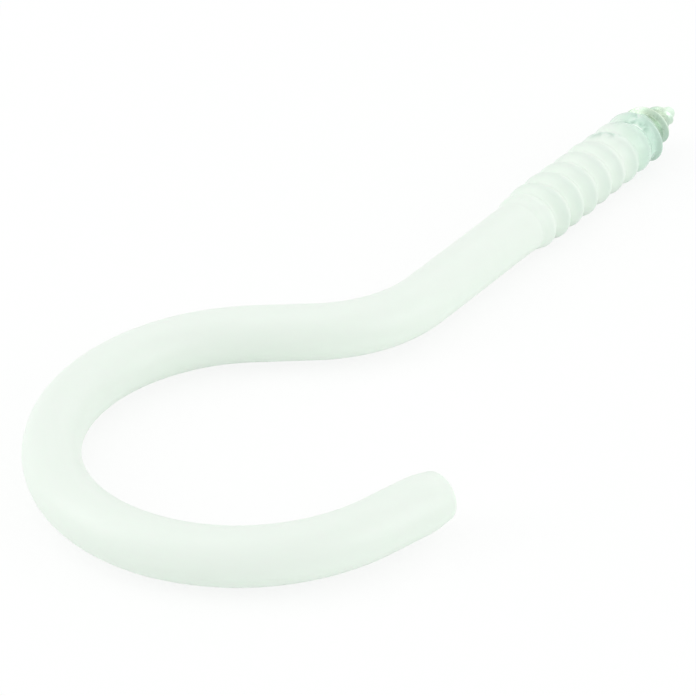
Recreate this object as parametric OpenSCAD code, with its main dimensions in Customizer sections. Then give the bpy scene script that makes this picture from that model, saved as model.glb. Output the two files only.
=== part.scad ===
// Screw hook: a steel wire bent to a question mark, with a rolled wood-screw thread and a gimlet
// point, dip-coated in vinyl that stops short of the point. Millimetres, +Z up, lying flat.
// Hook frame: the bow is centred on the origin, and the shank runs along +X to the point.

/* [Wire] */
// diameter of the bare steel wire
wire_d = 5.6; // [4:0.1:7]
// thickness of the vinyl on the plain wire
coat_t = 0.4; // [0.2:0.05:0.8]

/* [Hook] */
// bend radius of the bow, to the middle of the wire
bow_r = 21.2; // [16:0.1:30]
// how far the shank's line passes beside the bow's centre
bow_offset = 0.9; // [-2:0.1:3]
// angle turned by the neck between the shank and the bow
neck_turn = 53.5; // [40:0.5:65]
// bend radius of the neck, to the middle of the wire
neck_r = 15; // [8:0.5:18]
// angle by which the free end opens away from the shank
tail_flare = 14.5; // [0:0.5:30]
// straight length of the free end, over the vinyl
tail_len = 8.8; // [5:0.1:20]
// length over which the free end draws in
end_taper_len = 2.9; // [1.5:0.1:4.5]
// angle at which its side draws in
end_taper_a = 11; // [0:0.5:12]
// rounding of the vinyl around the free end
end_round = 1; // [0.3:0.1:1.4]
// vinyl over the cut end of the wire, or more where the rounding needs it
end_cap_t = 1; // [0.3:0.1:1.4]

/* [Thread] */
// plain shank from the neck to the first turn
shank_len = 18.8; // [5:0.1:60]
// advance of the thread in one turn
pitch = 3; // [2:0.1:4]
// turns of the steel thread, less the last one
steel_turns = 10.4; // [6:0.1:16]
// turns covered by vinyl, less the last one
coat_turns = 8.8; // [4:0.1:9.2]
// diameter over the steel crests
major_d = 6.9; // [6.2:0.1:7.2]
// diameter at the bottom of the steel thread
root_d = 4.9; // [4:0.1:5.4]
// length over which the thread rises out of the wire
runout_len = 2.8; // [1:0.1:5]
// length of the tapered gimlet point
gimlet_len = 6.8; // [4:0.1:12]
// radius of the blunt end of the point
tip_r = 0.6; // [0.2:0.1:1]
// angle around the shank at which the thread starts
start_a = 114; // [0:6:354]

/* [Vinyl over the thread] */
// radius over the vinyl where it steps up at the first turn
sleeve_start_r = 3.26; // [3.24:0.01:3.4]
// radius over the shoulder that the vinyl then swells to
shoulder_r = 3.48; // [3.4:0.01:3.7]
// length over which it swells to the shoulder
shoulder_len = 1.6; // [0.5:0.1:3]
// length over which the ridges rise out of the shoulder
ridge_runout_len = 4.4; // [2:0.1:7]
// radius over the vinyl on the first full crest
sleeve_crest_r = 3.86; // [3.75:0.01:4.2]
// how much that radius drops by the last coated turn
sleeve_drop = 0.33; // [0:0.01:0.4]
// depth of the creases between the ridges at the first turn
groove_start = 0.9; // [0.1:0.01:1]
// depth of the creases at the last coated turn
groove_end = 0.45; // [0.1:0.01:0.8]
// thickness of the last vinyl before the bare steel
feather_t = 0.12; // [0.08:0.01:0.3]
// turns over which the vinyl thins out
feather_turns = 1.4; // [0.5:0.1:3]

/* [View] */
// node to show

/* [Hidden] */
$fn = 96;
wire_r = wire_d / 2;
coat_r = wire_r + coat_t;

// straight lengths reach a little into the bends, which are drawn a hair thinner
lap = 0.05;
bend_ease = 0.01;

// the free end, along its own line: the wire is cut before the rounding of the vinyl starts
taper_z = tail_len - end_taper_len;
round_z = tail_len - end_round;
cut_z = min(round_z, tail_len - end_cap_t);

function drawn_in(r, z) = r - (z - taper_z) * tan(end_taper_a);
flat_r = drawn_in(coat_r, round_z) - end_round;

// route of the wire
bow_start_a = 90 - neck_turn;
bow_end_a = 270 - tail_flare;
link_len = (bow_r * cos(neck_turn) - bow_offset - neck_r * (1 - cos(neck_turn))) / sin(neck_turn);
shank_x = (neck_r + bow_r) * sin(neck_turn) + link_len * cos(neck_turn);
thread_x = shank_x + shank_len;

function on_bow(a) = bow_r * [cos(a), sin(a)];
link_start = on_bow(bow_start_a) - link_len * [-sin(bow_start_a), cos(bow_start_a)];

// a screw surface is drawn as stations around the helix, each with one profile from groove to
// groove; the steel starts inside the shank, half a station away from the vinyl's stations, and
// the vinyl's profile repeats the corners of the steel's, so that its film follows them
sides = 30;
step_a = 360 / sides;
steel_x = thread_x - 3.5 * pitch / sides;
sleeve_x = thread_x - pitch / sides;
steel_last = round(steel_turns * sides);
sleeve_last = round(coat_turns * sides);
tip_x = steel_x + pitch * (steel_last / sides + 1);
sleeve_end_x = sleeve_x + pitch * (sleeve_last / sides + 1);

// half the width of the steel ridge at its foot, at its crest and between, in shares of the pitch
foot_u = 0.2;
land_u = 0.03;
flank_u = (foot_u + land_u) / 2;
floor_u = (0.5 - foot_u) / 2;
steel_u = [0, 0.5 - foot_u, 0.5 - land_u, 0.5 + land_u, 0.5 + foot_u];
sleeve_u = [0, floor_u, 0.5 - foot_u, 0.5 - flank_u, 0.5 - land_u,
    0.5 + land_u, 0.5 + flank_u, 0.5 + foot_u, 1 - floor_u];

function clamp01(t) = max(0, min(1, t));
function ease(t) = let (c = clamp01(t)) c * c * (3 - 2 * c);
function mix(a, b, t) = a + (b - a) * t;
function risen(x, len) = ease((x - thread_x) / len);
function taper(x) = clamp01((tip_x - x) / gimlet_len);

// steel radius: a flat-bottomed groove and a crest at the middle of the profile
function steel_at(x, u) =
    let (rise = clamp01((foot_u - abs(u - 0.5)) / (foot_u - land_u)),
         full = mix(root_d / 2, major_d / 2, rise))
    mix(tip_r, mix(wire_r - lap, full, risen(x, runout_len)), taper(x));

// vinyl radius: puffed ridges with a crease between them, which thin out to a film on the steel
function sleeve_at(x, u) =
    let (from_x = thread_x + ridge_runout_len,
         along = clamp01((x - from_x) / (sleeve_end_x - from_x)),
         groove = mix(groove_start, groove_end, along) * (1 - sin(180 * u)),
         ridge = sleeve_crest_r - sleeve_drop * along - groove,
         shoulder = mix(sleeve_start_r, shoulder_r, risen(x, shoulder_len)),
         wave = mix(shoulder, ridge, risen(x, ridge_runout_len)),
         thin = ease(1 - (sleeve_end_x - x - pitch / 2) / (pitch * feather_turns)),
         film = steel_at(x, u) + feather_t)
    max(film, mix(wave, film, thin));

// points: full profiles, the groove line of the last turn, the ring at the start, the end's middle
function screw_points(f, us, from_x, last, end_x) =
    let (at = function(x, r, j)
            let (a = start_a + 360 * (from_x - thread_x) / pitch + j * step_a)
            [x, bow_offset + r * cos(a), r * sin(a)],
         along = function(j, u) from_x + pitch * (j / sides + u))
    concat(
        [for (j = [0:last], u = us) at(along(j, u), f(along(j, u), u), j)],
        [for (j = [last + 1:last + sides]) at(along(j, 0), f(along(j, 0), 0), j)],
        [for (j = [1:sides - 1]) at(from_x, f(from_x, 0), j)],
        [[end_x, bow_offset, 0]]);

// faces: the start ring and its cap, the screw surface, and an end drawn in to its middle
function screw_faces(n, last) =
    let (groove = function(j) j <= last ? j * n : last * n + n - 1 + j - last,
         grid = function(j, m) m < n ? j * n + m : groove(j + sides),
         ring = function(j) j % sides == 0 ? 0 : groove(last + sides) + j % sides,
         middle = groove(last + sides) + sides)
    concat(
        [for (j = [0:last - 1], m = [0:n - 1]) each [
            [grid(j, m), grid(j, m + 1), grid(j + 1, m + 1)],
            [grid(j, m), grid(j + 1, m + 1), grid(j + 1, m)]]],
        [for (j = [1:sides - 1]) [ring(j), groove(j), ring(j + 1)]],
        [for (j = [0:sides - 2]) [groove(j), groove(j + 1), ring(j + 1)]],
        [for (m = [0:n - 1]) [groove(sides - 1), grid(0, m + 1), grid(0, m)]],
        [for (j = [last:last + sides - 1]) [middle, groove(j + 1), groove(j)]],
        [for (m = [0:n - 1]) [middle, grid(last, m), grid(last, m + 1)]],
        [[for (j = [0:sides - 1]) ring(j)]]);

sleeve_points = screw_points(function(x, u) sleeve_at(x, u), sleeve_u, sleeve_x, sleeve_last,
    sleeve_end_x - pitch / 2);

// the part's box, which lays it on the floor around the origin
low_y = on_bow(bow_end_a).y - max(
    coat_r * cos(tail_flare) + taper_z * sin(tail_flare),
    flat_r * cos(tail_flare) + round_z * sin(tail_flare) + end_round);
high_y = bow_r + coat_r;
low_x = -bow_r - coat_r;
low_z = min([for (p = sleeve_points) p.z]);
to_floor = [-(low_x + tip_x) / 2, -(low_y + high_y) / 2, -low_z];

// a straight length of round wire, reaching into the bends at the ends named
module straight(at, a, len, r, before = lap, after = lap) {
    translate([at.x, at.y, 0]) rotate([0, 90, a])
        translate([0, 0, -before]) cylinder(h = len + before + after, r = r);
}

module bend(at, from_a, turn, radius, r) {
    translate([at.x, at.y, 0]) rotate([0, 0, from_a])
        rotate_extrude(angle = turn) translate([radius, 0]) circle(r - bend_ease);
}

// the whole route from the thread to the start of the free end
module route(r) {
    straight([shank_x, bow_offset], 0, shank_len, r, after = 0);
    bend([shank_x, bow_offset + neck_r], -90 - neck_turn, neck_turn, neck_r, r);
    straight(link_start, bow_start_a + 90, link_len, r);
    bend([0, 0], bow_start_a, bow_end_a - bow_start_a, bow_r, r);
}

// a shape turned around the line of the free end
module free_end() {
    translate([on_bow(bow_end_a).x, on_bow(bow_end_a).y, 0]) rotate([0, 90, bow_end_a + 90])
        rotate_extrude() children();
}

// half the outline of a free end that is straight and then draws in
module half_end(r, end_z) {
    polygon([[0, -lap], [r, -lap], [r, taper_z], [drawn_in(r, end_z), end_z], [0, end_z]]);
}

// wire that is bent, cut square at the free end and rolled to a thread at the other
module wire_solid() {
    route(wire_r);
    free_end() half_end(wire_r, cut_z);
    polyhedron(
        screw_points(function(x, u) steel_at(x, u), steel_u, steel_x, steel_last, tip_x),
        screw_faces(len(steel_u), steel_last));
}

// everything inside the vinyl's outer face, with the rounded free end
module dipped_solid() {
    route(coat_r);
    free_end() union() {
        half_end(coat_r, round_z);
        square([flat_r, tail_len]);
        intersection() {
            translate([flat_r, round_z]) circle(end_round);
            translate([0, round_z]) square([coat_r, end_round]);
        }
    }
    polyhedron(sleeve_points, screw_faces(len(sleeve_u), sleeve_last));
}

module steel_hook() {
    color("Silver") translate(to_floor) wire_solid();
}

module vinyl_coat() {
    color("White") translate(to_floor) difference() {
        dipped_solid();
        wire_solid();
    }
}

steel_hook();
vinyl_coat();
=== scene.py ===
"""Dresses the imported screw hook: a steel wire with a wood-screw thread, dipped in soft vinyl.

The wire and its vinyl skin are modelled along one route, in metres and in the part's own frame.
"""

import logging
import math
from dataclasses import dataclass, field
from enum import Enum
from typing import Any

import bmesh
import bpy
import numpy as np
from mathutils import Matrix, Vector


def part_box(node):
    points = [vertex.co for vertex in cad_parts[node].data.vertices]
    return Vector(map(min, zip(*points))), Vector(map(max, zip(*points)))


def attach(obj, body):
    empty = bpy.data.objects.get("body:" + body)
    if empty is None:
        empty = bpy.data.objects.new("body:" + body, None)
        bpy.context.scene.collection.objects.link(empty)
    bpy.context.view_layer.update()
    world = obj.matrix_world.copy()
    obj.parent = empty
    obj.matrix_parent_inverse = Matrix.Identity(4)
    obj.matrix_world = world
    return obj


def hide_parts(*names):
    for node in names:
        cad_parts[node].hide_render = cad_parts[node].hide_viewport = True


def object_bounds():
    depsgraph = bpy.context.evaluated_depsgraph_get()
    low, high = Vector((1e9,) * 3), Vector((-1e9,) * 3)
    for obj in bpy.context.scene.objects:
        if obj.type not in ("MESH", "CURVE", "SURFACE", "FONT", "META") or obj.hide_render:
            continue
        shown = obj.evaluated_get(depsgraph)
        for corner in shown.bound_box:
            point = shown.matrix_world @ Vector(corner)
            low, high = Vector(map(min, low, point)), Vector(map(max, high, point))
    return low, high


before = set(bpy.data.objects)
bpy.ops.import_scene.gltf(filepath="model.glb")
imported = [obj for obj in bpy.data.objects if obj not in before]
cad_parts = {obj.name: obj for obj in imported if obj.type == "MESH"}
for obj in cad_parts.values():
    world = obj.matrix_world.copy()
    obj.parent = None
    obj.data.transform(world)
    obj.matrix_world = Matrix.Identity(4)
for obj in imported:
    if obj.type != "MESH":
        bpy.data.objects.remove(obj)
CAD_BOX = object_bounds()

LOG = logging.getLogger("screw_hook")
MM = 0.001
FULL_TURN = 2.0 * math.pi
MERGE_WITHIN = 0.0005 * MM
ROOT_BODY = "root"

Colour = tuple[float, float, float]
Place = tuple[float, float]
WHITE: Colour = (1.0, 1.0, 1.0)


class Node(Enum):
    """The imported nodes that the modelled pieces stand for."""

    STEEL = "steel_hook"
    VINYL = "vinyl_coat"


class Slot(Enum):
    """The record's material slots."""

    STEEL = "steel"
    VINYL = "vinyl"


class Trait(Enum):
    """Measures that the meshes carry at each vertex for their finishes."""

    FILM = "film_mm"
    COVER = "cover"
    # Painted shade on the vinyl's ridges.
    SHADE = "shade"
    TORN = "torn"
    CREST = "crest"
    # Painted sheen on the steel, lighter along one side.
    POLISH = "polish"
    # Painted highlight on the steel's tip and last crest.
    WORN = "worn"


class Mixing(Enum):
    """The ways in which two colours are mixed."""

    OVER = "MIX"
    TINT = "MULTIPLY"


# ---------------------------------------------------------------- form


def ease(t: np.ndarray) -> np.ndarray:
    """Returns a smooth step from 0 to 1 as t goes from 0 to 1."""
    c = np.clip(t, 0.0, 1.0)
    return c * c * (3.0 - 2.0 * c)


def mix(a: Any, b: Any, t: Any) -> Any:
    """Returns the value t of the way from a to b."""
    return a + (b - a) * t


@dataclass(frozen=True)
class Wave:
    """A sine wave around the wire."""

    size: float
    count: int
    phase: float

    def height(self, angle: np.ndarray) -> np.ndarray:
        """Returns the wave's height at each angle in radians."""
        return self.size * np.sin(self.count * angle + self.phase)


@dataclass(frozen=True)
class Lump:
    """A low wave that drifts around the thread from turn to turn."""

    size: float
    per_turn: float
    count: int
    phase: float = 0.0

    def height(self, turns: np.ndarray, angle: np.ndarray) -> np.ndarray:
        """Returns the wave's height some turns along the thread and at an angle around it."""
        return self.size * np.sin(self.per_turn * turns + self.phase + self.count * angle)


@dataclass(frozen=True)
class Ripple:
    """A wave along the wire that sways or twists as it goes around."""

    size: float
    length: float
    sway: float = 0.0
    count: int = 1
    phase: float = 0.0
    twist: int = 0

    def height(self, distance: np.ndarray, angle: np.ndarray) -> np.ndarray:
        """Returns the wave's height at a distance along the wire and an angle around it."""
        swayed = self.sway * np.sin(self.count * angle + self.phase)
        return self.size * np.sin(distance / self.length + swayed + self.twist * angle)


@dataclass(frozen=True)
class Tear:
    """A torn streak in the vinyl, between two places given by distance and angle."""

    start: Place
    end: Place
    width: float
    depth: float
    around_r: float = 3.5 * MM

    def at(self, x: np.ndarray, angle: np.ndarray) -> np.ndarray:
        """Works out how torn the vinyl is.

        Args:
            x: Distance along the thread.
            angle: Angle around it.

        Returns:
            How torn it is at each place, from 0 to 1.
        """
        run_x = self.end[0] - self.start[0]
        run_y = (self.end[1] - self.start[1]) * self.around_r
        off_x, off_y = x - self.start[0], (angle - self.start[1]) * self.around_r
        along = np.clip((off_x * run_x + off_y * run_y) / (run_x ** 2 + run_y ** 2), 0.0, 1.0)
        away = np.hypot(off_x - along * run_x, off_y - along * run_y)
        return self.depth * np.exp(-(away / self.width) ** 2)


@dataclass(frozen=True)
class Leg:
    """One stretch of the route, straight or bent to one radius."""

    length: float
    turn: float = 0.0

    def walk(self, distance: np.ndarray,
             heading: float) -> tuple[np.ndarray, np.ndarray, np.ndarray]:
        """Walks along the leg.

        Args:
            distance: Distances from the leg's start.
            heading: The direction at the start, in radians from +X towards +Y.

        Returns:
            The steps in X and in Y from the start, and the heading at each distance.
        """
        if self.turn == 0.0:
            same = np.full_like(distance, heading)
            return distance * math.cos(heading), distance * math.sin(heading), same
        radius = self.length / self.turn
        there = heading + distance / radius
        step_x = radius * (np.sin(there) - math.sin(heading))
        step_y = radius * (math.cos(heading) - np.cos(there))
        return step_x, step_y, there


@dataclass
class HookRoute:
    """The wire's middle line, from the free end round the bow and the neck to the point."""

    wire_r: float = 2.8 * MM
    coat_r: float = 3.2 * MM
    bow_r: float = 21.2 * MM
    bow_offset: float = 0.9 * MM
    neck_turn: float = math.radians(53.5)
    neck_r: float = 15.0 * MM
    tail_flare: float = math.radians(14.5)
    tail_len: float = 8.8 * MM
    end_taper: float = 2.9 * MM
    end_slope: float = math.tan(math.radians(11.0))
    end_ease: float = 0.5 * MM
    shank_len: float = 18.8 * MM
    rest_height: float = 3.84 * MM
    legs: list[Leg] = field(init=False)
    start: Vector = field(init=False)
    heading: float = field(init=False)

    def __post_init__(self) -> None:
        """Lays out the legs around the bow's centre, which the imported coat's box gives."""
        low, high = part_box(Node.VINYL.value)
        centre = Vector((low.x + self.bow_r + self.coat_r, high.y - self.bow_r - self.coat_r,
                         low.z + self.rest_height))
        cos_n, sin_n = math.cos(self.neck_turn), math.sin(self.neck_turn)
        link = (self.bow_r * cos_n - self.bow_offset - self.neck_r * (1.0 - cos_n)) / sin_n
        bow_turn = math.pi - self.tail_flare + self.neck_turn
        self.legs = [Leg(self.tail_len), Leg(self.bow_r * bow_turn, -bow_turn), Leg(link),
                     Leg(self.neck_r * self.neck_turn, self.neck_turn), Leg(self.shank_len)]
        end_angle = 1.5 * math.pi - self.tail_flare
        self.heading = end_angle - 0.5 * math.pi
        bow_end = centre + self.bow_r * Vector((math.cos(end_angle), math.sin(end_angle), 0.0))
        outward = Vector((math.cos(self.heading), math.sin(self.heading), 0.0))
        self.start = bow_end - self.tail_len * outward

    @property
    def thread_start(self) -> float:
        """Returns the distance from the free end to the first turn of the thread."""
        return sum(leg.length for leg in self.legs)

    def drawn_in(self, distance: Any) -> Any:
        """Returns how much less the radius is at a distance from the free end, which tapers."""
        inside = self.end_taper - distance
        return 0.5 * self.end_slope * (inside + np.hypot(inside, self.end_ease))

    def place(self, distance: np.ndarray, radius: np.ndarray, angle: np.ndarray) -> np.ndarray:
        """Places points around the route.

        Args:
            distance: Distance along the route of each point, from the free end.
            radius: Distance of each point from the middle line.
            angle: Angle of each point around it, from its left side towards +Z.

        Returns:
            The points, with the coordinates in the last axis.
        """
        x, y = np.zeros_like(distance), np.zeros_like(distance)
        way = np.zeros_like(distance)
        at_x, at_y, heading, done = self.start.x, self.start.y, self.heading, 0.0
        for number, leg in enumerate(self.legs):
            here = distance >= done if number else np.ones(distance.shape, bool)
            step_x, step_y, there = leg.walk(distance[here] - done, heading)
            x[here], y[here], way[here] = at_x + step_x, at_y + step_y, there
            end_x, end_y, end_way = leg.walk(np.array([leg.length]), heading)
            at_x, at_y, heading = at_x + end_x[0], at_y + end_y[0], float(end_way[0])
            done += leg.length
        side = radius * np.cos(angle)
        return np.stack([x - side * np.sin(way), y + side * np.cos(way),
                         self.start.z + radius * np.sin(angle)], axis=-1)


@dataclass(frozen=True)
class WoodThread:
    """The rolled thread and gimlet point. Distances run from the thread's first turn."""

    pitch: float = 3.0 * MM
    length: float = 33.85 * MM
    crest_r: float = 3.45 * MM
    root_r: float = 2.45 * MM
    shank_r: float = 2.8 * MM
    runout: float = 2.8 * MM
    gimlet_len: float = 6.8 * MM
    tip_r: float = 0.6 * MM
    start_angle: float = math.radians(114.0)
    land: float = 0.022
    foot: float = 0.2
    flank_round: float = 0.45
    # Painted sheen: lighter along one side of the thread and at the tip, in helical streaks.
    bright_angle: float = math.radians(85.0)
    bright_spread: float = math.radians(42.0)
    tip_polish: float = 0.55
    streak: float = 0.25
    streak_count: int = 3
    streak_drift: float = 2.0
    # Painted highlight on the tip and along the last crest on one side.
    worn_angle: float = math.radians(150.0)
    worn_len: float = 3.4 * MM
    worn_tip: float = 0.8
    worn_turns: float = 2.0
    crest_edge: float = 0.8
    rows_per_turn: int = 32
    spare_turns: int = 1

    def phase(self, x: np.ndarray, angle: np.ndarray) -> np.ndarray:
        """Returns the place across the thread's profile, 0 in the groove and 0.5 on the crest."""
        return (x / self.pitch - (angle - self.start_angle) / FULL_TURN) % 1.0

    def crest(self, x: np.ndarray, angle: np.ndarray) -> np.ndarray:
        """Works out how high up the thread's flank each point is.

        Args:
            x: Distance along the thread.
            angle: Angle around it.

        Returns:
            The height, from 0 at the root to 1 on the crest.
        """
        away = np.abs(self.phase(x, angle) - 0.5)
        rise = np.clip((self.foot - away) / (self.foot - self.land), 0.0, 1.0)
        return mix(rise, ease(rise), self.flank_round)

    def radius(self, x: np.ndarray, angle: np.ndarray) -> np.ndarray:
        """Works out the steel's radius.

        Args:
            x: Distance along the thread.
            angle: Angle around it.

        Returns:
            The radius at each place, drawn in to the round tip.
        """
        full = mix(self.root_r, self.crest_r, self.crest(x, angle))
        rising = mix(self.shank_r, full, ease(x / self.runout))
        taper = np.clip((self.length - x) / self.gimlet_len, 0.0, 1.0)
        body = mix(self.tip_r, rising, taper)
        back = np.clip(1.0 - (self.length - x) / self.tip_r, 0.0, 1.0)
        return body * np.sqrt(np.clip(1.0 - back * back, 0.0, 1.0))

    def polish(self, x: np.ndarray, angle: np.ndarray) -> np.ndarray:
        """Works out a painted sheen on the steel, lightest along one side and at the tip, in
        helical streaks.

        Args:
            x: Distance along the thread.
            angle: Angle around it.

        Returns:
            The painted sheen at each place, from 0 to 1.
        """
        side = np.exp(-((angle - self.bright_angle) / self.bright_spread) ** 2)
        before_tip = ease((self.length - x) / self.gimlet_len)
        turns = self.streak_count * angle + self.streak_drift * x / self.pitch
        polish = mix(self.tip_polish, side, before_tip) + self.streak * np.sin(turns)
        return np.clip(polish, 0.0, 1.0)

    def worn(self, x: np.ndarray, angle: np.ndarray) -> np.ndarray:
        """Works out a painted highlight on the steel: on the tip and along the last crest, on one
        side.

        Args:
            x: Distance along the thread.
            angle: Angle around it.

        Returns:
            How strong the painted highlight is at each place, from 0 to 1.
        """
        before_tip = self.length - x
        tip = ease(1.0 - (before_tip - self.tip_r) / self.worn_len)
        over = self.crest(x, angle) - self.crest_edge
        high = np.clip(over / (1.0 - self.crest_edge), 0.0, 1.0)
        side = np.exp(-((angle - self.worn_angle) / self.bright_spread) ** 2)
        last = ease(1.0 - (before_tip - self.worn_len) / (self.worn_turns * self.pitch))
        return np.maximum(self.worn_tip * tip, high * side * last)

    def rows(self, around: int, stop: float) -> tuple[np.ndarray, np.ndarray]:
        """Lays rows that wind along the helix, each at one place across the profile.

        Args:
            around: Steps in one turn.
            stop: Distance along the thread at which the rows end in a plane.

        Returns:
            Distances and angles, one row for each place across the profile.
        """
        angle = np.linspace(0.0, FULL_TURN, around + 1)
        count = int(self.rows_per_turn * (stop / self.pitch + 2 * self.spare_turns)) + 1
        across = np.arange(count)[:, None] / self.rows_per_turn - self.spare_turns
        x = self.pitch * (across + (angle[None, :] - self.start_angle) / FULL_TURN)
        return np.clip(x, 0.0, stop), np.broadcast_to(angle, x.shape)


@dataclass(frozen=True)
class VinylSleeve:
    """The vinyl over the thread: puffed ridges that thin out to nothing near the point."""

    thread: WoodThread
    coat_r: float = 3.2 * MM
    shoulder_r: float = 3.48 * MM
    shoulder_len: float = 0.9 * MM
    shoulder_lag: float = 0.35 * MM
    shoulder_early: float = math.radians(44.0)
    runout: float = 4.4 * MM
    crest_r: float = 3.86 * MM
    drop: float = 0.33 * MM
    groove_first: float = 0.9 * MM
    groove_last: float = 0.45 * MM
    crease_fillet: float = 0.165
    crease_swing: float = 0.10
    crisp_angle: float = math.radians(236.0)
    length: float = 29.3 * MM
    thinning: float = 3.2 * MM
    # Painted shade just past each ridge's crest: where across the profile it is darkest, how far it
    # reaches before and after that, how far it leads and how weak it is away from the side where it
    # is strongest.
    thinnest: float = 0.52
    thin_before: float = 0.46
    thin_after: float = 0.26
    thin_lead: float = 0.07
    shade_least: float = 0.5
    shade_side: float = math.radians(163.0)
    shade_spread: float = math.radians(48.0)
    clear_len: float = 1.8 * MM
    fading: float = 8.0 * MM
    thick_side: float = math.radians(57.0)
    thick_spread: float = math.radians(24.0)
    thick_len: float = 3.0 * MM
    faded: float = 0.75
    faded_edge: float = 0.22
    edge_hold: float = 0.7
    feather: float = 0.12 * MM
    feather_len: float = 1.0 * MM
    tuck: float = 0.05 * MM
    hidden: float = 0.03 * MM
    uneven: float = 0.035 * MM
    lumps: tuple[Lump, ...] = (
        Lump(size=0.6, per_turn=2.3, count=1, phase=1.0), Lump(size=0.42, per_turn=4.1, count=-2))
    edge_back: float = 2.05 * MM
    edge_waves: tuple[Wave, ...] = (
        Wave(size=0.35 * MM, count=1, phase=0.17), Wave(size=0.30 * MM, count=3, phase=2.62),
        Wave(size=0.10 * MM, count=5, phase=0.4), Wave(size=0.07 * MM, count=11, phase=2.0))
    tears: tuple[Tear, ...] = (
        Tear(start=(18.9 * MM, math.radians(64.0)), end=(19.9 * MM, math.radians(106.0)),
             width=0.70 * MM, depth=0.60),
        Tear(start=(22.7 * MM, math.radians(74.0)), end=(24.5 * MM, math.radians(126.0)),
             width=0.65 * MM, depth=1.0),
        Tear(start=(24.0 * MM, math.radians(104.0)), end=(25.2 * MM, math.radians(98.0)),
             width=0.45 * MM, depth=0.8))
    tear_depth: float = 0.12 * MM
    tear_film: float = 0.04 * MM

    def wave(self, x: np.ndarray, angle: np.ndarray) -> np.ndarray:
        """Works out the vinyl's outer radius before it thins out.

        Args:
            x: Distance along the thread.
            angle: Angle around it.

        Returns:
            The radius at each place: a plain shoulder that runs out into puffed ridges.
        """
        u = self.thread.phase(x, angle)
        along = np.clip((x - self.runout) / (self.length - self.runout), 0.0, 1.0)
        depth = mix(self.groove_first, self.groove_last, along)
        fillet = self.crease_fillet - self.crease_swing * np.cos(angle - self.crisp_angle)
        puff = np.hypot(np.sin(math.pi * u), fillet)
        ridge = self.crest_r - self.drop * along - depth * (1.0 - np.minimum(puff, 1.0))
        lumps = sum(lump.height(x / self.thread.pitch, angle) for lump in self.lumps)
        lag = self.shoulder_lag * (1.0 - np.cos(angle - self.shoulder_early))
        shoulder = mix(self.coat_r, self.shoulder_r, ease((x - lag) / self.shoulder_len))
        return mix(shoulder, ridge + self.uneven * (lumps - 1.0), ease(x / self.runout))

    def torn(self, x: np.ndarray, angle: np.ndarray) -> np.ndarray:
        """Returns how torn the vinyl is, 0 to 1."""
        return np.max([tear.at(x, angle) for tear in self.tears], axis=0)

    def before_edge(self, x: np.ndarray, angle: np.ndarray, over: float) -> np.ndarray:
        """Returns 1 well before the vinyl's edge and 0 at it, eased over a length."""
        edge = self.length - self.edge_back + sum(wave.height(angle) for wave in self.edge_waves)
        return 1.0 - ease((x - edge + over) / over)

    def shade(self, x: np.ndarray, angle: np.ndarray) -> np.ndarray:
        """Works out painted shade just past each ridge's crest, strongest along one side of the
        thread.

        Args:
            x: Distance along the thread.
            angle: Angle around it.

        Returns:
            The painted shade at each place, from 0 to 1.
        """
        side = np.exp(-((angle - self.shade_side) / self.shade_spread) ** 2)
        after = (self.thread.phase(x, angle) - self.thinnest + self.thin_lead * side) % 1.0
        drawn = np.maximum(ease(1.0 - after / self.thin_after),
                           ease(1.0 - (1.0 - after) / self.thin_before))
        drawn = drawn * mix(self.shade_least, 1.0, side)
        return drawn * self.cover(x, angle) * ease(x / self.runout)

    def cover(self, x: np.ndarray, angle: np.ndarray) -> np.ndarray:
        """Works out how opaque the vinyl is; it stays thick for longer along one side.

        Args:
            x: Distance along the thread.
            angle: Angle around it.

        Returns:
            The cover at each place, from 1 where it is thick to nearly 0 at its edge.
        """
        thick = np.exp(-((angle - self.thick_side) / self.thick_spread) ** 2)
        late = x + self.clear_len - thick * self.thick_len
        lost = self.faded * (1.0 - self.before_edge(late, angle, self.fading))
        last = self.faded_edge * (1.0 - self.before_edge(x, angle, self.clear_len))
        return 1.0 - lost - last * (1.0 - self.edge_hold * thick)

    def film(self, x: np.ndarray, angle: np.ndarray) -> np.ndarray:
        """Works out the vinyl's thickness over the steel.

        Args:
            x: Distance along the thread.
            angle: Angle around it.

        Returns:
            The thickness at each place; where it is below 0 the steel is bare.
        """
        full = self.wave(x, angle) - self.thread.radius(x, angle)
        left = self.before_edge(x, angle, self.thinning)
        last = self.before_edge(x, angle, self.feather_len)
        film = mix(self.feather, np.maximum(full, self.feather), left)
        film = np.maximum(film - self.tear_depth * self.torn(x, angle), self.tear_film)
        return mix(-self.hidden, film, last)

    def radius(self, x: np.ndarray, angle: np.ndarray) -> np.ndarray:
        """Returns the vinyl's outer radius, just under the steel where that is bare."""
        steel = self.thread.radius(x, angle)
        return steel + np.maximum(self.film(x, angle), -self.hidden)


# ---------------------------------------------------------------- meshes


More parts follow.
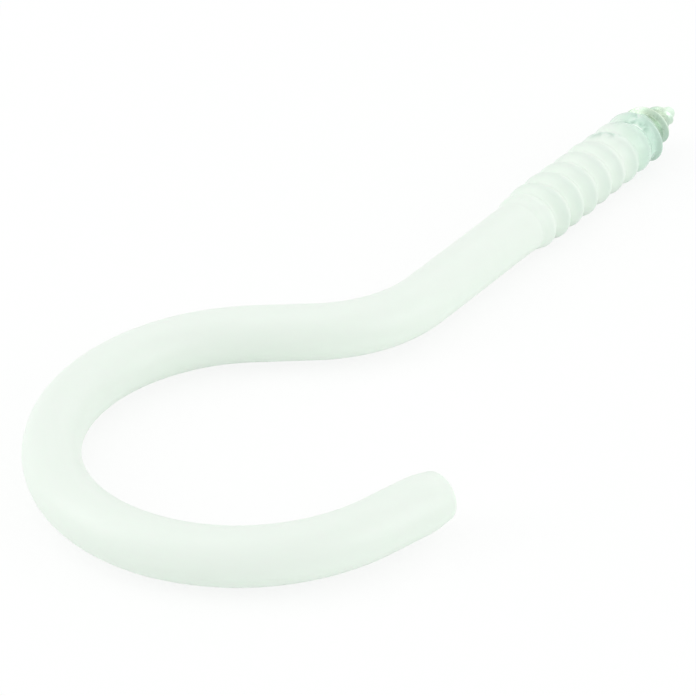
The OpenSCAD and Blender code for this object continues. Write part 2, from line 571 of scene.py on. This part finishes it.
@dataclass
class Skin:
    """Rows of points around the route, which become one closed mesh."""

    route: HookRoute
    around: int
    distance: list[np.ndarray] = field(default_factory=list)
    radius: list[np.ndarray] = field(default_factory=list)
    angle: list[np.ndarray] = field(default_factory=list)
    traits: dict[Trait, list[np.ndarray]] = field(default_factory=dict)

    def add(self, distance: np.ndarray, radius: np.ndarray, **traits: np.ndarray) -> None:
        """Adds plain rings.

        Args:
            distance: Distance along the route of each ring.
            radius: Radius of each ring, or of each of its points.
            **traits: A value for each ring or point, by the trait's name.
        """
        angle = np.broadcast_to(np.linspace(0.0, FULL_TURN, self.around + 1),
                                (len(distance), self.around + 1))
        rings = np.broadcast_to(distance[:, None], angle.shape)
        radii = np.broadcast_to(np.atleast_2d(radius.T).T, angle.shape)
        self.add_rows(rings, radii, angle, **traits)

    def add_rows(self, distance: np.ndarray, radius: np.ndarray, angle: np.ndarray,
                 **traits: np.ndarray) -> None:
        """Adds rows whose points have their own distances, radii and angles.

        Args:
            distance: Distance along the route of each point.
            radius: Radius of each point.
            angle: Angle of each point.
            **traits: A value for each point, by the trait's name.
        """
        self.distance.append(distance)
        self.radius.append(radius)
        self.angle.append(angle)
        for trait in Trait:
            value = traits.get(trait.name.lower(), np.zeros(1))
            spread = np.broadcast_to(np.atleast_2d(value.T).T, angle.shape)
            self.traits.setdefault(trait, []).append(spread)

    def build(self, name: str, sharp_angle: float) -> bpy.types.Object:
        """Joins the rows into one mesh object.

        Args:
            name: The object's name.
            sharp_angle: Edges that turn by more than this, in radians, stay crisp.

        Returns:
            The object, linked to the scene.
        """
        distance, radius = np.concatenate(self.distance), np.concatenate(self.radius)
        points = self.route.place(distance, radius, np.concatenate(self.angle))
        rows, columns = distance.shape
        index = np.arange(rows * columns).reshape(rows, columns)
        faces = np.stack([index[:-1, :-1], index[:-1, 1:], index[1:, 1:], index[1:, :-1]], axis=-1)
        mesh = bpy.data.meshes.new(name)
        mesh.from_pydata(points.reshape(-1, 3).tolist(), [], faces.reshape(-1, 4).tolist())
        for trait, parts in self.traits.items():
            layer = mesh.attributes.new(trait.value, "FLOAT", "POINT")
            layer.data.foreach_set("value", np.concatenate(parts).astype(np.float32).ravel())
        self._close(mesh)
        mesh.set_sharp_from_angle(angle=sharp_angle)
        made = bpy.data.objects.new(name, mesh)
        bpy.context.scene.collection.objects.link(made)
        return made

    @staticmethod
    def _close(mesh: bpy.types.Mesh) -> None:
        """Merges points that coincide, so that seams and ends close, and faces outwards.

        Args:
            mesh: The mesh to change.
        """
        bm = bmesh.new()
        bm.from_mesh(mesh)
        bmesh.ops.remove_doubles(bm, verts=bm.verts, dist=MERGE_WITHIN)
        bmesh.ops.recalc_face_normals(bm, faces=bm.faces)
        for face in bm.faces:
            face.smooth = True
        bm.to_mesh(mesh)
        bm.free()


# ---------------------------------------------------------------- shaders


def opaque(colour: Colour) -> tuple[float, float, float, float]:
    """Returns a colour with full alpha, as a colour socket takes it."""
    return (*colour, 1.0)


@dataclass(frozen=True)
class Grain:
    """The pattern of a soft noise. Its size is about that of its features, in metres."""

    size: float
    detail: float
    rough: float
    stretch: tuple[float, float, float] | None = None


class Signal:
    """One shader output that takes part in Python arithmetic."""

    def __init__(self, graph: "ShaderGraph", output: bpy.types.NodeSocket) -> None:
        """Wraps an output socket of a graph."""
        self.graph = graph
        self.output = output

    def _math(self, operation: str, first: Any, second: Any) -> "Signal":
        """Adds one Math node on two values."""
        return self.graph.node("ShaderNodeMath", {"operation": operation}, {0: first, 1: second})

    def __add__(self, other: Any) -> "Signal":
        """Returns self + other."""
        return self._math("ADD", self, other)

    def __radd__(self, other: Any) -> "Signal":
        """Returns other + self."""
        return self._math("ADD", other, self)

    def __sub__(self, other: Any) -> "Signal":
        """Returns self - other."""
        return self._math("SUBTRACT", self, other)

    def __rsub__(self, other: Any) -> "Signal":
        """Returns other - self."""
        return self._math("SUBTRACT", other, self)

    def __mul__(self, other: Any) -> "Signal":
        """Returns self * other."""
        return self._math("MULTIPLY", self, other)

    def __rmul__(self, other: Any) -> "Signal":
        """Returns other * self."""
        return self._math("MULTIPLY", other, self)

    def centred(self) -> "Signal":
        """Returns the value less a half, so that noise swings both ways."""
        return self - 0.5

    def clamped(self, low: float = 0.0, high: float = 1.0) -> "Signal":
        """Returns the value held between low and high."""
        return self.graph.node("ShaderNodeClamp", {}, {"Value": self, "Min": low, "Max": high})


class ShaderGraph:
    """The node tree of one material or world."""

    def __init__(self, tree: bpy.types.NodeTree) -> None:
        """Empties a node tree and wraps it."""
        self.tree = tree
        tree.nodes.clear()

    def node(self, kind: str, settings: dict[str, Any] | None = None,
             inputs: dict[str | int, Any] | None = None, output: str | int = 0) -> Signal | None:
        """Adds one node.

        Args:
            kind: The node's type name.
            settings: The node's own properties; "stops" lists a ramp's places and colours.
            inputs: Values or signals for its input sockets.
            output: The output socket to hand back.

        Returns:
            That output as a signal, or None for a node without outputs.
        """
        made = self.tree.nodes.new(kind)
        for name, value in (settings or {}).items():
            if name == "stops":
                self._set_stops(made.color_ramp, value)
            else:
                setattr(made, name, value)
        for key, value in (inputs or {}).items():
            if isinstance(value, Signal):
                self.tree.links.new(value.output, made.inputs[key])
            else:
                made.inputs[key].default_value = value
        return Signal(self, made.outputs[output]) if made.outputs else None

    @staticmethod
    def _set_stops(ramp: bpy.types.ColorRamp, stops: list[tuple[float, Colour]]) -> None:
        """Gives a colour ramp its stops.

        Args:
            ramp: The ramp.
            stops: Places from 0 to 1, each with its colour.
        """
        while len(ramp.elements) < len(stops):
            ramp.elements.new(1.0)
        for element, (place, colour) in zip(ramp.elements, stops):
            element.position = place
            element.color = opaque(colour)

    def noise(self, at: Signal, grain: Grain) -> Signal:
        """Adds soft noise.

        Args:
            at: The position over which it is laid.
            grain: Its pattern.

        Returns:
            A value from 0 to 1.
        """
        if grain.stretch is not None:
            at = self.node("ShaderNodeVectorMath", {"operation": "MULTIPLY"},
                           {0: at, 1: grain.stretch})
        return self.node("ShaderNodeTexNoise", {}, {
            "Vector": at, "Scale": 1.0 / grain.size, "Detail": grain.detail,
            "Roughness": grain.rough})

    def ramp(self, amount: Signal, stops: list[tuple[float, Colour]]) -> Signal:
        """Returns the colour that an amount picks from a ramp."""
        return self.node("ShaderNodeValToRGB", {"stops": stops}, {"Fac": amount})

    def blend(self, amount: Signal, first: Signal | Colour, second: Signal | Colour,
              how: Mixing = Mixing.OVER) -> Signal:
        """Mixes two colours.

        Args:
            amount: How much of the second there is, from 0 to 1.
            first: The colour below.
            second: The colour that is mixed in.
            how: The way of mixing.

        Returns:
            The mixed colour.
        """
        pair = [side if isinstance(side, Signal) else opaque(side) for side in (first, second)]
        return self.node("ShaderNodeMix", {"data_type": "RGBA", "blend_type": how.value},
                         {0: amount, 6: pair[0], 7: pair[1]}, 2)

    def bump(self, height: Signal, depth: float, below: Signal | None = None) -> Signal:
        """Turns a height into a normal.

        Args:
            height: The height, from 0 to 1.
            depth: The depth in metres that a height of 1 stands for.
            below: The normal on which it is laid, if it isn't the surface's own.

        Returns:
            The normal.
        """
        inputs: dict[str | int, Any] = {"Height": height, "Strength": 1.0, "Distance": depth}
        if below is not None:
            inputs["Normal"] = below
        return self.node("ShaderNodeBump", {}, inputs)

    def place(self) -> Signal:
        """Returns the position in the part's frame, in metres."""
        return self.node("ShaderNodeTexCoord", output="Object")

    def trait(self, which: Trait) -> Signal:
        """Returns a measure that the mesh carries."""
        return self.node("ShaderNodeAttribute", {"attribute_name": which.value}, output="Fac")

    def seen(self) -> Signal:
        """Tells apart the rays that show a surface: from the camera, or by gloss or glass.

        Returns:
            1 for those rays and 0 for the rest.
        """
        camera, gloss, glass = (
            self.node("ShaderNodeLightPath", output=name)
            for name in ("Is Camera Ray", "Is Glossy Ray", "Is Transmission Ray"))
        return (camera + gloss + glass).clamped()


@dataclass(frozen=True)
class Finish:
    """A finish that can be put on a piece."""

    name: str

    def shade(self, graph: ShaderGraph) -> Signal:
        """Builds the shader and returns it."""
        raise NotImplementedError

    def material(self) -> bpy.types.Material:
        """Makes a material with this finish.

        Returns:
            The new material.
        """
        made = bpy.data.materials.new(self.name)
        made.use_nodes = True
        graph = ShaderGraph(made.node_tree)
        graph.node("ShaderNodeOutputMaterial", {}, {"Surface": self.shade(graph)})
        return made


@dataclass(frozen=True)
class DippedVinyl(Finish):
    """Soft white vinyl, dull where it is thick and greener and glossier where it thins out."""

    name: str = "dipped_vinyl"
    white: Colour = (0.835, 0.916, 0.840)
    cloudy: Colour = (0.815, 0.908, 0.820)
    milky: Colour = (0.71, 0.86, 0.75)
    milky_at: float = 0.6
    clear: Colour = (0.58, 0.79, 0.67)
    clear_at: float = 0.25
    thin: Colour = (0.55, 0.75, 0.62)
    # Painted shade: the tint that darkens the ridges just past their crests.
    drawn: Colour = (0.857, 0.892, 0.88)
    torn: Colour = (0.39, 0.58, 0.47)
    # Painted glints in the tears and along the ragged edge of the vinyl.
    fleck: Colour = (0.80, 0.94, 0.84)
    fleck_stops: tuple[float, float, float] = (0.40, 0.49, 0.57)
    torn_film_mm: float = 0.05
    edge_share: float = 0.45
    tint_gain: float = 6.0
    streak_share: float = 0.16
    clouds: Grain = Grain(9.0 * MM, detail=3.0, rough=0.55)
    grain: Grain = Grain(0.22 * MM, detail=2.0, rough=0.6)
    ripples: Grain = Grain(3.2 * MM, detail=1.0, rough=0.4)
    streaks: Grain = Grain(0.5 * MM, detail=3.0, rough=0.6, stretch=(0.35, 1.0, 1.0))
    flecks: Grain = Grain(1.1 * MM, detail=2.0, rough=0.45, stretch=(0.8, 1.0, 1.6))
    ripple_depth: float = 0.05 * MM
    grain_depth: float = 0.006 * MM
    roughness: float = 0.40
    smoothest: float = 0.12
    roughest: float = 0.7
    cloud_rough: float = 0.10
    grain_rough: float = 0.06
    thin_gloss: float = 0.18
    torn_gloss: float = 0.14
    coat: float = 0.6
    coat_roughness: float = 0.12
    ior: float = 1.52
    subsurface: float = 0.25
    subsurface_scale: float = 0.9 * MM
    subsurface_radius: tuple[float, float, float] = (0.8, 1.0, 0.85)

    def _sound(self, graph: ShaderGraph, at: Signal, clouds: Signal, lost: Signal) -> Signal:
        """Colours the vinyl where it is whole.

        Args:
            graph: The material's graph.
            at: The position.
            clouds: The slow clouding.
            lost: How far the vinyl has thinned out.

        Returns:
            The colour, from white to clear, with painted shade just past the ridges' crests.
        """
        body = graph.blend(clouds, self.white, self.cloudy)
        streaks = self.streak_share * graph.noise(at, self.streaks).centred()
        cover = (graph.trait(Trait.COVER) + streaks).clamped()
        tint = graph.ramp(cover, [(0.0, self.thin), (self.clear_at, self.clear),
                                  (self.milky_at, self.milky), (1.0, self.white)])
        whole = graph.blend((lost * self.tint_gain).clamped(), body, tint)
        # Painted shade just past each ridge's crest.
        return graph.blend(graph.trait(Trait.SHADE), whole, self.drawn, Mixing.TINT)

    def _ragged(self, graph: ShaderGraph, at: Signal, sound: Signal, torn: Signal) -> Signal:
        """Colours the tears, with painted glints in them and along the ragged edge.

        Args:
            graph: The material's graph.
            at: The position.
            sound: The colour of the whole vinyl.
            torn: How torn the vinyl is.

        Returns:
            The colour with the tears and painted glints in it.
        """
        # Painted glints: pale flecks among the dark torn spots, and a pale line where the film runs
        # out.
        edge = (1.0 - graph.trait(Trait.FILM) * (1.0 / self.torn_film_mm)).clamped()
        stops = list(zip(self.fleck_stops, (self.torn, self.clear, self.fleck)))
        flecks = graph.ramp(graph.noise(at, self.flecks), stops)
        return graph.blend(edge * self.edge_share, graph.blend(torn, sound, flecks), self.fleck)

    def shade(self, graph: ShaderGraph) -> Signal:
        """Builds the vinyl's shader.

        Args:
            graph: The material's graph.

        Returns:
            The shader.
        """
        at = graph.place()
        clouds, grain = graph.noise(at, self.clouds), graph.noise(at, self.grain)
        lost = 1.0 - graph.trait(Trait.COVER).clamped()
        torn = graph.trait(Trait.TORN).clamped()
        colour = self._ragged(graph, at, self._sound(graph, at, clouds, lost), torn)
        uneven = self.cloud_rough * clouds.centred() + self.grain_rough * grain.centred()
        rough = self.roughness + uneven - self.thin_gloss * lost - self.torn_gloss * torn
        normal = graph.bump(graph.noise(at, self.ripples), self.ripple_depth)
        normal = graph.bump(grain, self.grain_depth, normal)
        return graph.node("ShaderNodeBsdfPrincipled", {"subsurface_method": "RANDOM_WALK"}, {
            "Base Color": colour, "Roughness": rough.clamped(self.smoothest, self.roughest),
            "Normal": normal, "IOR": self.ior, "Subsurface Weight": self.subsurface,
            "Subsurface Scale": self.subsurface_scale, "Subsurface Radius": self.subsurface_radius,
            "Coat Weight": self.coat * lost, "Coat Roughness": self.coat_roughness})


@dataclass(frozen=True)
class RolledSteel(Finish):
    """Bare rolled steel, darker with dirt specks in its roots, with painted reflections that make
    it lighter along one side, in the roots and along the crests' edges.
    """

    name: str = "rolled_steel"
    dull: Colour = (0.48, 0.65, 0.54)
    bright: Colour = (0.57, 0.68, 0.54)
    stain: Colour = (0.18, 0.27, 0.20)
    # The painted highlight's colour.
    pale: Colour = (0.80, 0.95, 0.82)
    lines: Grain = Grain(0.6 * MM, detail=4.0, rough=0.65, stretch=(6.0, 1.0, 1.0))
    specks: Grain = Grain(0.35 * MM, detail=4.0, rough=0.7)
    patches: Grain = Grain(1.6 * MM, detail=2.0, rough=0.5)
    line_depth: float = 0.012 * MM
    speck_depth: float = 0.010 * MM
    # Painted reflections: a glint along the crests' edges, the sheen along one side and a lighter
    # tone in the roots.
    burnish_gain: float = 5.0
    burnish_share: float = 0.4
    polish_share: float = 0.8
    root_share: float = 0.25
    patch_share: float = 0.7
    dirt_from: float = 0.52
    dirt_gain: float = 5.0
    dirt_share: float = 0.6
    crest_clean: float = 0.8
    roughness: float = 0.45
    smoothest: float = 0.1
    roughest: float = 0.8
    dirt_rough: float = 0.25
    line_rough: float = 0.16
    crest_gloss: float = 0.06

    def shade(self, graph: ShaderGraph) -> Signal:
        """Builds the steel's shader.

        Args:
            graph: The material's graph.

        Returns:
            The shader.
        """
        at = graph.place()
        high, polish = graph.trait(Trait.CREST), graph.trait(Trait.POLISH)
        lines, specks = graph.noise(at, self.lines), graph.noise(at, self.specks)
        # Painted reflections make the steel lighter along one side, in the roots and along the
        # crests' edges; the patches are its own uneven tone.
        burnished = (self.burnish_gain * high - (self.burnish_gain - 1.0)).clamped()
        shine = self.polish_share * polish + self.root_share * (1.0 - high) \
            + self.burnish_share * burnished \
            + self.patch_share * graph.noise(at, self.patches).centred()
        metal = graph.blend(shine.clamped(), self.dull, self.bright)
        dirt = (self.dirt_gain * (specks - self.dirt_from)).clamped() \
            * (1.0 - self.crest_clean * high)
        colour = graph.blend(self.dirt_share * dirt, metal, self.stain)
        # Painted highlight on the tip and along the last crest.
        colour = graph.blend(graph.trait(Trait.WORN), colour, self.pale)
        rough = self.roughness + self.dirt_rough * dirt - self.crest_gloss * high \
            + self.line_rough * lines.centred()
        normal = graph.bump(lines, self.line_depth)
        normal = graph.bump(specks, self.speck_depth, normal)
        return graph.node("ShaderNodeBsdfPrincipled", {}, {
            "Base Color": colour, "Metallic": 1.0, "Normal": normal,
            "Roughness": rough.clamped(self.smoothest, self.roughest)})


@dataclass(frozen=True)
class PaleFloor(Finish):
    """A white table that keeps a faint soft shadow."""

    name: str = "pale_floor"
    white: Colour = (0.955, 0.985, 0.96)
    fibre: Colour = (0.93, 0.96, 0.935)
    fibres: Grain = Grain(0.8 * MM, detail=2.0, rough=0.5)
    fibre_share: float = 0.5
    glow: float = 0.85

    def shade(self, graph: ShaderGraph) -> Signal:
        """Builds the floor's shader, lifted to white where it is seen.

        Args:
            graph: The material's graph.

        Returns:
            The shader.
        """
        fibres = self.fibre_share * graph.noise(graph.place(), self.fibres)
        tone = graph.blend(fibres, self.white, self.fibre)
        matt = graph.node("ShaderNodeBsdfDiffuse", {}, {"Color": tone})
        lit = graph.node("ShaderNodeEmission", {}, {"Color": opaque(WHITE), "Strength": 1.0})
        return graph.node("ShaderNodeMixShader", {}, {0: self.glow * graph.seen(), 1: matt, 2: lit})


# ---------------------------------------------------------------- pieces


@dataclass
class HookPiece:
    """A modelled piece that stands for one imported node."""

    route: HookRoute
    node: Node
    slot: Slot
    finish: Finish
    name: str
    around: int = 80
    sharp_angle: float = math.radians(38.0)

    def skin(self) -> Skin:
        """Lays out the piece's rows."""
        raise NotImplementedError

    def make(self) -> bpy.types.Object:
        """Returns:
            The finished object.
        """
        made = self.skin().build(self.name, self.sharp_angle)
        made.data.materials.append(self.finish.material())
        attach(made, ROOT_BODY)
        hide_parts(self.node.value)
        LOG.info("%s: %d faces", self.name, len(made.data.polygons))
        return made


@dataclass
class SteelHook(HookPiece):
    """The bent wire with its rolled thread and gimlet point."""

    thread: WoodThread = field(default_factory=WoodThread)
    cut_back: float = 1.0 * MM
    cut_bevel: float = 0.15 * MM
    cut_rings: int = 3
    step: float = 1.5 * MM

    def skin(self) -> Skin:
        """Lays out the cut end, the bent wire and the thread.

        Returns:
            The steel's rows.
        """
        skin = Skin(self.route, self.around)
        wire_r, start = self.route.wire_r, self.cut_back
        flat_r = wire_r - self.route.drawn_in(start) - self.cut_bevel
        skin.add(np.full(self.cut_rings, start), np.linspace(0.0, flat_r, self.cut_rings))
        length = self.route.thread_start
        count = int((length - start) / self.step)
        rings = np.linspace(start + self.cut_bevel, length, count)
        skin.add(rings[:-1], wire_r - self.route.drawn_in(rings[:-1]))
        x, angle = self.thread.rows(self.around, self.thread.length)
        radius = self.thread.radius(x, angle)
        skin.add_rows(length + x, radius, angle, crest=self.thread.crest(x, angle),
                      polish=self.thread.polish(x, angle), worn=self.thread.worn(x, angle))
        return skin


@dataclass
class VinylCoat(HookPiece):
    """The vinyl skin, from the rounded free end to the thin edge on the thread."""

    sleeve: VinylSleeve = field(default_factory=lambda: VinylSleeve(WoodThread()))
    end_round: float = 1.0 * MM
    end_crown: float = 0.12 * MM
    crown_rings: int = 8
    round_rings: int = 18
    steel_back: float = 1.0 * MM
    seat_rings: int = 2
    step: float = 0.8 * MM
    bore_step: float = 2.5 * MM
    ripple: float = 0.02 * MM
    ripples: tuple[Ripple, ...] = (
        Ripple(size=0.5, length=5.3 * MM, sway=1.3, phase=0.7),
        Ripple(size=0.2, length=2.1 * MM, sway=2.0, count=2, phase=-0.4),
        Ripple(size=0.3, length=11.0 * MM, twist=3))
    fade_in: float = 6.0 * MM
    fade_out: float = 4.0 * MM

    def _outer_end(self) -> tuple[np.ndarray, np.ndarray]:
        """Lays out the rounded, slightly crowned free end.

        Returns:
            The distance and the radius of each ring.
        """
        flat_r = self.route.coat_r - self.route.drawn_in(self.end_round) - self.end_round
        across = np.linspace(0.0, 1.0, self.crown_rings)
        turn = np.linspace(0.0, 0.5 * math.pi, self.round_rings)[1:]
        rounded = self.end_crown + (self.end_round - self.end_crown) * (1.0 - np.cos(turn))
        return (np.concatenate([self.end_crown * across ** 2, rounded]),
                np.concatenate([flat_r * across, flat_r + self.end_round * np.sin(turn)]))

    def _plain(self, rings: np.ndarray) -> np.ndarray:
        """Works out the plain skin's radius, with the slight unevenness that dipping leaves.

        Args:
            rings: Distance along the route of each ring.

        Returns:
            The radius of each of the rings' points.
        """
        angle = np.linspace(0.0, FULL_TURN, self.around + 1)[None, :]
        fade = ease((rings - self.end_round) / self.fade_in) \
            * ease((self.route.thread_start - rings) / self.fade_out)
        uneven = sum(ripple.height(rings[:, None], angle) for ripple in self.ripples) - 1.0
        even = self.route.coat_r - self.route.drawn_in(rings[:, None])
        return even + self.ripple * uneven * fade[:, None]

    def skin(self) -> Skin:
        """Lays out the outer face to the thin edge and the inner face back again.

        Returns:
            The vinyl's rows.
        """
        skin = Skin(self.route, self.around)
        length, thread = self.route.thread_start, self.sleeve.thread
        whole = {"film": np.array([self.route.coat_r - self.route.wire_r]) / MM,
                 "cover": np.ones(1)}
        skin.add(*self._outer_end(), **whole)
        rings = np.linspace(self.end_round, length, int((length - self.end_round) / self.step))
        skin.add(rings[1:-1], self._plain(rings[1:-1]), **whole)
        x, turn = thread.rows(self.around, self.sleeve.length)
        skin.add_rows(length + x, self.sleeve.radius(x, turn), turn,
                      film=self.sleeve.film(x, turn) / MM, cover=self.sleeve.cover(x, turn),
                      shade=self.sleeve.shade(x, turn), torn=self.sleeve.torn(x, turn))
        inner = thread.radius(x, turn) - self.sleeve.tuck
        skin.add_rows((length + x)[::-1], inner[::-1], turn[::-1])
        bore = np.linspace(length, self.steel_back, int(length / self.bore_step))[1:]
        bore_r = self.route.wire_r - self.sleeve.tuck - self.route.drawn_in(bore)
        skin.add(bore, bore_r)
        seat_r = np.linspace(bore_r[-1], 0.0, self.seat_rings + 1)[1:]
        skin.add(np.full(self.seat_rings, self.steel_back), seat_r)
        return skin


# ---------------------------------------------------------------- studio


@dataclass(frozen=True)
class SoftLamp:
    """A square soft light, aimed at the part."""

    name: str
    azimuth: float
    elevation: float
    size: float
    power: float
    distance: float = 0.8

    def make(self, aim: Vector) -> bpy.types.Object:
        """Adds the lamp.

        Args:
            aim: The point it faces.

        Returns:
            The lamp's object.
        """
        data = bpy.data.lights.new(self.name, "AREA")
        data.shape = "SQUARE"
        data.size = self.size
        data.energy = self.power
        lamp = bpy.data.objects.new(self.name, data)
        back = direction(self.azimuth, self.elevation)
        lamp.location = aim + self.distance * back
        lamp.rotation_euler = back.to_track_quat("Z", "Y").to_euler()
        bpy.context.scene.collection.objects.link(lamp)
        return lamp


def direction(azimuth: float, elevation: float) -> Vector:
    """Returns the unit vector towards a viewer at an azimuth and elevation in degrees."""
    a, e = math.radians(azimuth), math.radians(elevation)
    return Vector((math.sin(a) * math.cos(e), -math.cos(a) * math.cos(e), math.sin(e)))


@dataclass
class Studio:
    """White table, white surroundings, soft light and the camera."""

    azimuth: float = -52.70
    elevation: float = 32.43
    roll: float = 2.143
    distance: float = 0.400
    lens: float = 187.43
    sensor: float = 36.0
    near: float = 0.01
    far: float = 20.0
    aim_from_centre: tuple[float, float, float] = (-10.37 * MM, 2.517 * MM, 0.0)
    fill: float = 0.72
    floor_size: float = 6.0
    lamps: tuple[SoftLamp, ...] = (
        SoftLamp("top_light", azimuth=-150.0, elevation=68.0, size=0.7, power=1.01),
        SoftLamp("left_light", azimuth=-140.0, elevation=28.0, size=0.5, power=1.31),
        SoftLamp("right_light", azimuth=10.0, elevation=20.0, size=0.6, power=1.57),
        SoftLamp("back_light", azimuth=85.0, elevation=35.0, size=0.6, power=0.55))

    def _aim(self) -> Vector:
        """Returns the point that the camera and the lamps face."""
        return (CAD_BOX[0] + CAD_BOX[1]) / 2.0 + Vector(self.aim_from_centre)

    def _world(self) -> None:
        """Surrounds the scene with white that lights it softly."""
        world = bpy.data.worlds.new("white_room")
        bpy.context.scene.world = world
        world.use_nodes = True
        graph = ShaderGraph(world.node_tree)
        strength = self.fill + graph.seen() * (1.0 - self.fill)
        glow = graph.node("ShaderNodeBackground", {},
                          {"Color": opaque(WHITE), "Strength": strength})
        graph.node("ShaderNodeOutputWorld", {}, {"Surface": glow})

    def _floor(self) -> None:
        """Lays the table top that the hook rests on."""
        half = self.floor_size / 2.0
        mesh = bpy.data.meshes.new("table_top")
        corners = [(-half, -half, 0.0), (half, -half, 0.0), (half, half, 0.0), (-half, half, 0.0)]
        mesh.from_pydata(corners, [], [(0, 1, 2, 3)])
        mesh.materials.append(PaleFloor().material())
        floor = bpy.data.objects.new("table_top", mesh)
        bpy.context.scene.collection.objects.link(floor)

    def _camera(self) -> None:
        """Sets up the camera."""
        data = bpy.data.cameras.new("camera")
        data.lens = self.lens
        data.sensor_width = self.sensor
        data.clip_start = self.near
        data.clip_end = self.far
        camera = bpy.data.objects.new("camera", data)
        bpy.context.scene.collection.objects.link(camera)
        back = direction(self.azimuth, self.elevation)
        turn = back.to_track_quat("Z", "Y").to_matrix().to_4x4()
        turn = turn @ Matrix.Rotation(-math.radians(self.roll), 4, "Z")
        camera.matrix_world = Matrix.Translation(self._aim() + self.distance * back) @ turn
        bpy.context.scene.camera = camera

    def make(self) -> None:
        """Builds the studio."""
        self._camera()
        self._world()
        self._floor()
        for lamp in self.lamps:
            lamp.make(self._aim())
        bpy.context.scene.view_settings.view_transform = "Standard"
        LOG.info("studio: %d lamps", len(self.lamps))


def main() -> None:
    """Builds the studio and the two pieces."""
    logging.basicConfig(level=logging.INFO, format="%(name)s: %(message)s")
    Studio().make()
    route = HookRoute()
    SteelHook(route, Node.STEEL, Slot.STEEL, RolledSteel(), "bent_steel").make()
    VinylCoat(route, Node.VINYL, Slot.VINYL, DippedVinyl(), "vinyl_skin").make()


if __name__ == "__main__":
    main()
